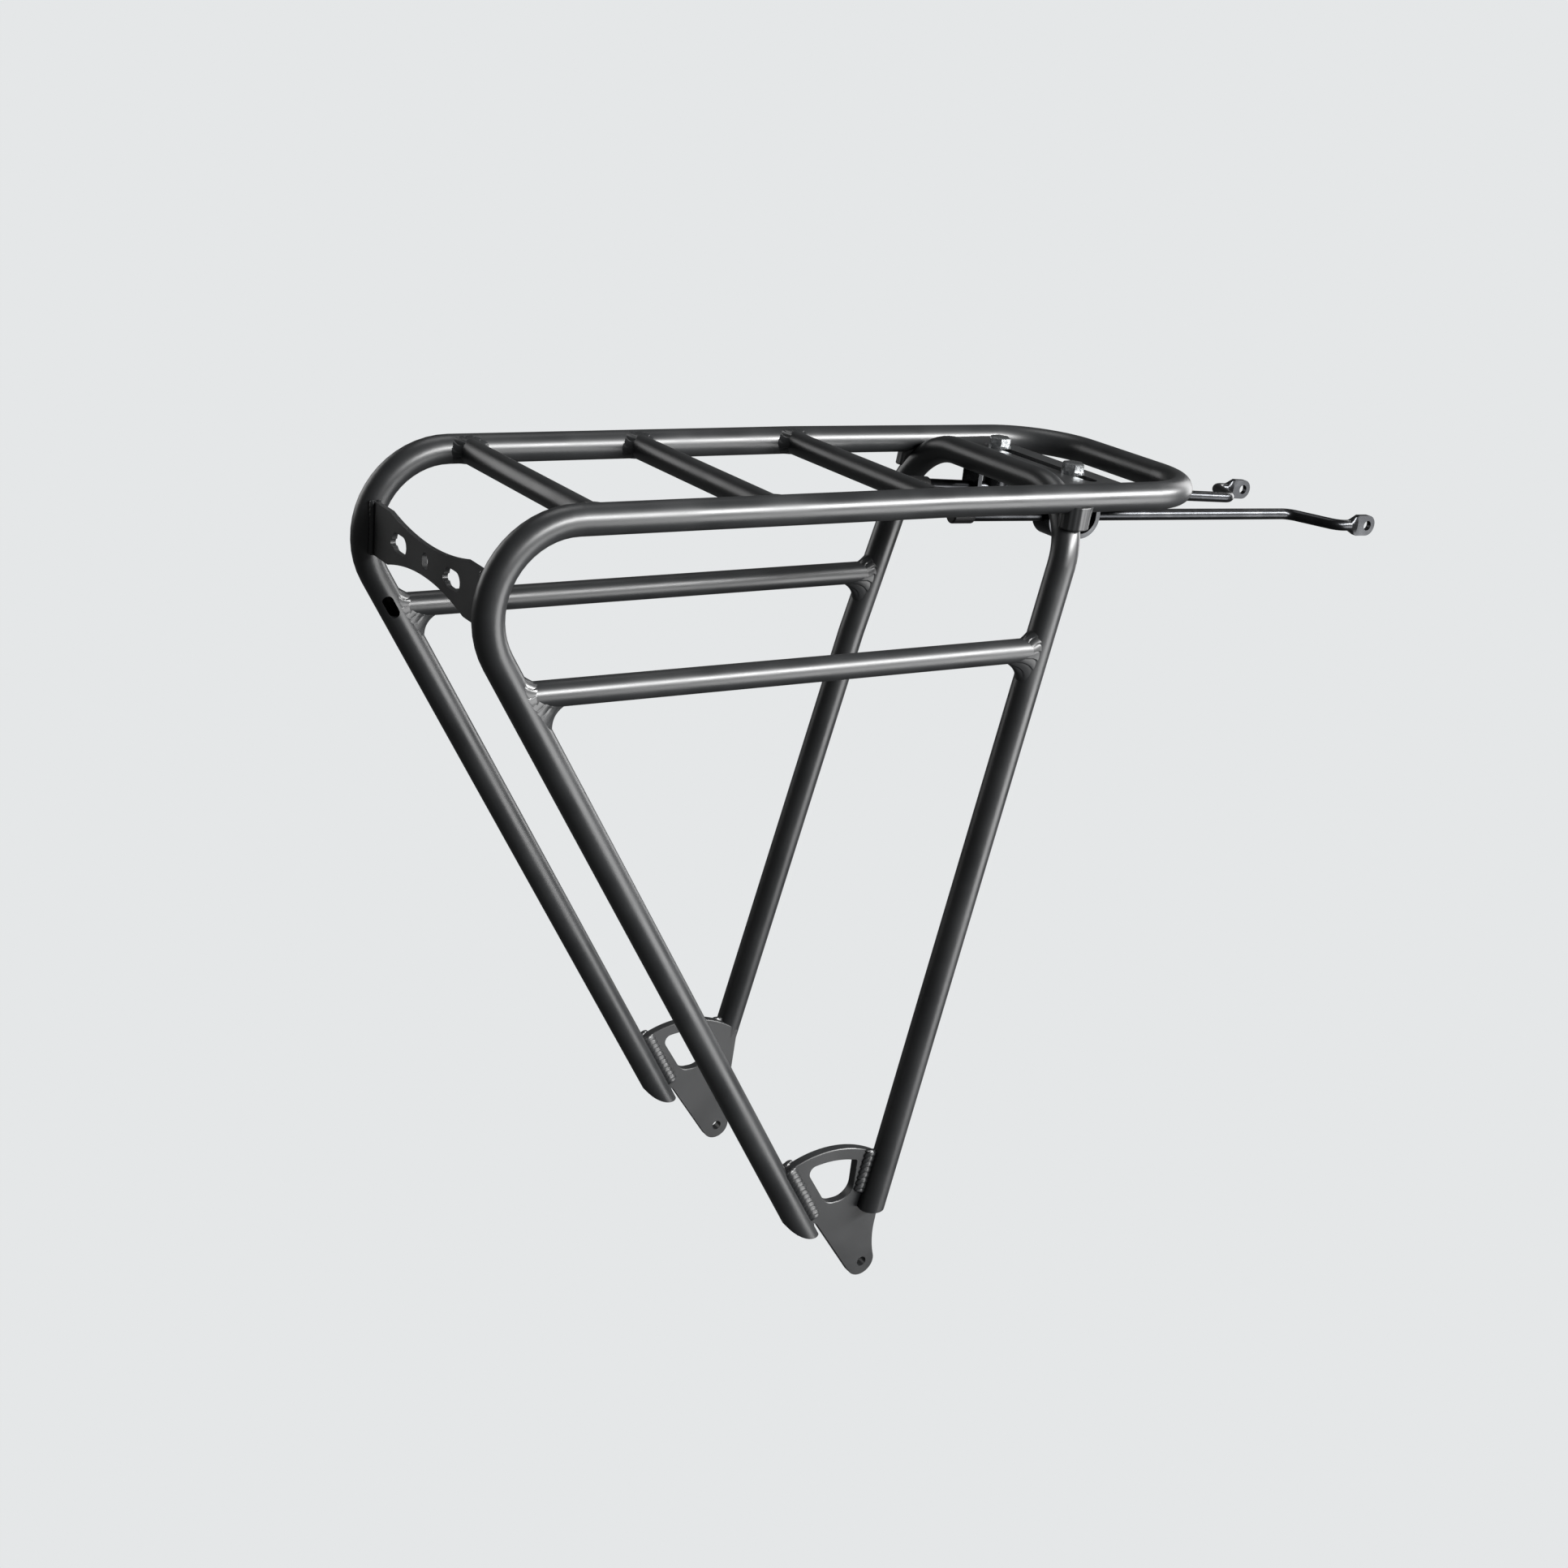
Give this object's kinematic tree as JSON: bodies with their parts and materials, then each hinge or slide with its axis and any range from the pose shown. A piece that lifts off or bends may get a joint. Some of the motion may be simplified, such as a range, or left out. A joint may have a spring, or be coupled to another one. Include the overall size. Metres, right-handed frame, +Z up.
{
  "type": "bicycle rear rack",
  "caption": "Tubular rear rack with a bent loop platform, slanted legs, side rails, welded dropout plates and sliding, swivelling stay rods for the seat stays.",
  "frame": {"origin": "midpoint between the two dropout eyelets, on their common axis", "axes": "+X towards the front of the bicycle, +Y to the bicycle's left along the eyelet axis, +Z up"},
  "size_m": [0.5622, 0.1766, 0.4245],
  "materials": {
    "tube": "satin black anodised aluminium tube",
    "plate": "satin black anodised, laser-cut aluminium plate",
    "weld": "black anodised stacked weld bead",
    "strap": "black-plated bent steel strap",
    "zinc": "bright zinc plate",
    "rod": "glossy black-chromed steel rod",
    "cap": "moulded black end cap"
  },
  "bodies": {
    "rack": {"main_loop_tube": "tube", "front_hoop_tube": "tube", "cross_tube_front": "tube", "cross_tube_middle": "tube", "cross_tube_rear": "tube", "side_rail_right": "tube", "side_rail_left": "tube", "dropout_right": "plate", "dropout_left": "plate", "light_plate": "plate", "stay_plate": "plate", "cross_tube_welds": "weld", "side_rail_welds": "weld", "dropout_welds": "weld", "hoop_welds": "weld", "light_plate_welds": "weld"},
    "washer_right": {"washer_right": "zinc"},
    "clamp_right": {"clamp_bolt_right": "zinc", "stirrup_right": "strap", "barrel_nut_right": "strap"},
    "stay_right": {"stay_rod_right": "rod", "stay_cap_right": "cap"},
    "washer_left": {"washer_left": "zinc"},
    "clamp_left": {"clamp_bolt_left": "zinc", "stirrup_left": "strap", "barrel_nut_left": "strap"},
    "stay_left": {"stay_rod_left": "rod", "stay_cap_left": "cap"}
  },
  "joints": [
    {"name": "clamp_slide_right", "type": "slide", "parent": "rack", "child": "washer_right", "axis": [0, 1, 0], "range_m": [-0.0145, 0.0145]},
    {"name": "clamp_swivel_right", "type": "hinge", "parent": "washer_right", "child": "clamp_right", "pos_m": [0.111, -0.027, 0.405], "axis": [0, 0, 1], "range_deg": [-12, 12]},
    {"name": "stay_reach_right", "type": "slide", "parent": "clamp_right", "child": "stay_right", "axis": [0.9993, 0, -0.0384], "range_m": [-0.1, 0.042]},
    {"name": "clamp_slide_left", "type": "slide", "parent": "rack", "child": "washer_left", "axis": [0, 1, 0], "range_m": [-0.0215, 0.0075]},
    {"name": "clamp_swivel_left", "type": "hinge", "parent": "washer_left", "child": "clamp_left", "pos_m": [0.111, 0.034, 0.405], "axis": [0, 0, 1], "range_deg": [-12, 12]},
    {"name": "stay_reach_left", "type": "slide", "parent": "clamp_left", "child": "stay_left", "axis": [0.9976, 0, -0.0698], "range_m": [-0.08, 0.0255]}
  ]
}
